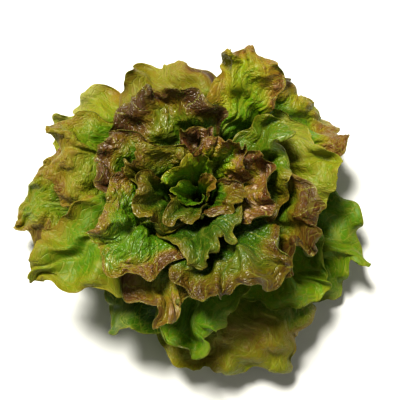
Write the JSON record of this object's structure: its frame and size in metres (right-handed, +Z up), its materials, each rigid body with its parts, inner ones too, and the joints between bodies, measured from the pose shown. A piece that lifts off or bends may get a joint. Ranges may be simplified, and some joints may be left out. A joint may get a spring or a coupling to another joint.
{
  "type": "batavia lettuce",
  "caption": "Loose open head of batavia lettuce as cut: waved, blistered leaves, green with red-brown rims, in nested layers round a short cut stem.",
  "frame": {"origin": "middle of the stem's cut face, on the surface that the head stands on", "axes": "+Z up along the stem; the picture was taken from above, with +X to its right and +Y to its top"},
  "size_m": [0.3117, 0.279, 0.1372],
  "materials": {
    "outer_leaf": "fresh leaf, olive to mid green with brown-red rims, softly glossy",
    "middle_leaf": "fresh leaf, bright green in the troughs and red-brown on blisters and rims, glossy",
    "heart_leaf": "young leaf, yellow-green with red-brown rims, glossy",
    "stem": "pale green-white flesh with a matt cut face, lightly browned"
  },
  "bodies": {
    "root": {"stem": "stem", "outer_leaf_01": "outer_leaf", "outer_leaf_02": "outer_leaf", "outer_leaf_03": "outer_leaf", "outer_leaf_04": "outer_leaf", "outer_leaf_05": "outer_leaf", "outer_leaf_06": "outer_leaf", "outer_leaf_07": "outer_leaf", "outer_leaf_08": "outer_leaf", "outer_leaf_09": "outer_leaf", "outer_leaf_10": "outer_leaf", "outer_leaf_11": "outer_leaf", "outer_leaf_12": "outer_leaf", "outer_leaf_13": "outer_leaf", "outer_leaf_14": "outer_leaf", "middle_leaf_01": "middle_leaf", "middle_leaf_02": "middle_leaf", "middle_leaf_03": "middle_leaf", "middle_leaf_04": "middle_leaf", "middle_leaf_05": "middle_leaf", "middle_leaf_06": "middle_leaf", "middle_leaf_07": "middle_leaf", "middle_leaf_08": "middle_leaf", "middle_leaf_09": "middle_leaf", "middle_leaf_10": "middle_leaf", "heart_leaf_01": "heart_leaf", "heart_leaf_02": "heart_leaf", "heart_leaf_03": "heart_leaf", "heart_leaf_04": "heart_leaf", "heart_leaf_05": "heart_leaf", "heart_leaf_06": "heart_leaf", "heart_leaf_07": "heart_leaf", "heart_leaf_08": "heart_leaf"}
  },
  "joints": []
}
